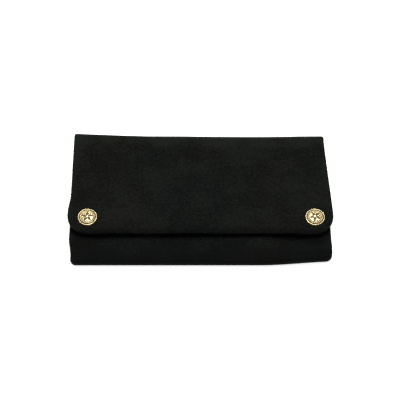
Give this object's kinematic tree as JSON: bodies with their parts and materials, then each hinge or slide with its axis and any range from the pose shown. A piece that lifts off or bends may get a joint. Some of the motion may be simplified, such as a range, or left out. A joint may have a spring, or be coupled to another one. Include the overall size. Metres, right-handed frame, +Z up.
{
  "type": "folding dice tray",
  "caption": "Black suede dice tray folded in three and snapped shut with domed brass caps, with corner snaps inside that raise its walls.",
  "frame": {"origin": "under the middle of the folded tray, on the surface that it rests on", "axes": "+X across the width, +Y to the back fold, +Z up through the folded stack"},
  "size_m": [0.211, 0.1204, 0.0148],
  "materials": {
    "outer_suede": "matte suede nap",
    "lining_suede": "matte suede nap",
    "cap_brass": "antiqued, polished high points",
    "snap_brass": "satin",
    "spring_wire": "drawn wire"
  },
  "bodies": {
    "base": {"base_outer": "outer_suede", "base_lining": "lining_suede"},
    "back_fold": {"back_fold_outer": "outer_suede", "back_fold_lining": "lining_suede"},
    "flap": {"flap_outer": "outer_suede", "flap_lining": "lining_suede", "right_snap_cap": "cap_brass", "left_snap_cap": "cap_brass", "right_snap_socket": "snap_brass", "left_snap_socket": "snap_brass", "right_snap_spring": "spring_wire", "left_snap_spring": "spring_wire", "flap_corner_studs": "snap_brass", "flap_stud_posts": "snap_brass", "flap_corner_sockets": "snap_brass", "flap_socket_posts": "snap_brass", "flap_corner_springs": "spring_wire"},
    "front_fold": {"front_fold_outer": "outer_suede", "front_fold_lining": "lining_suede"},
    "front_panel": {"front_outer": "outer_suede", "front_lining": "lining_suede", "right_snap_stud": "snap_brass", "left_snap_stud": "snap_brass", "right_snap_post": "snap_brass", "left_snap_post": "snap_brass", "front_corner_studs": "snap_brass", "front_stud_posts": "snap_brass", "front_corner_sockets": "snap_brass", "front_socket_posts": "snap_brass", "front_corner_springs": "spring_wire"}
  },
  "joints": [
    {"name": "back_fold_crease", "type": "hinge", "parent": "base", "child": "back_fold", "pos_m": [0, 0.06025, 0], "axis": [-1, 0, 0], "range_deg": [0, 90]},
    {"name": "flap_crease", "type": "hinge", "parent": "back_fold", "child": "flap", "pos_m": [0, 0.06025, 0.013], "axis": [-1, 0, 0], "range_deg": [0, 88.2]},
    {"name": "front_fold_crease", "type": "hinge", "parent": "base", "child": "front_fold", "pos_m": [0, -0.06025, 0], "axis": [1, 0, 0], "range_deg": [0, 90]},
    {"name": "front_panel_crease", "type": "hinge", "parent": "front_fold", "child": "front_panel", "pos_m": [0, -0.06025, 0.0074], "axis": [1, 0, 0], "range_deg": [0, 85.5]}
  ],
  "couplings": [
    {"joint": "flap_crease", "follows": "back_fold_crease", "ratio": 0.98},
    {"joint": "front_fold_crease", "follows": "back_fold_crease", "ratio": 1},
    {"joint": "front_panel_crease", "follows": "back_fold_crease", "ratio": 0.95}
  ]
}
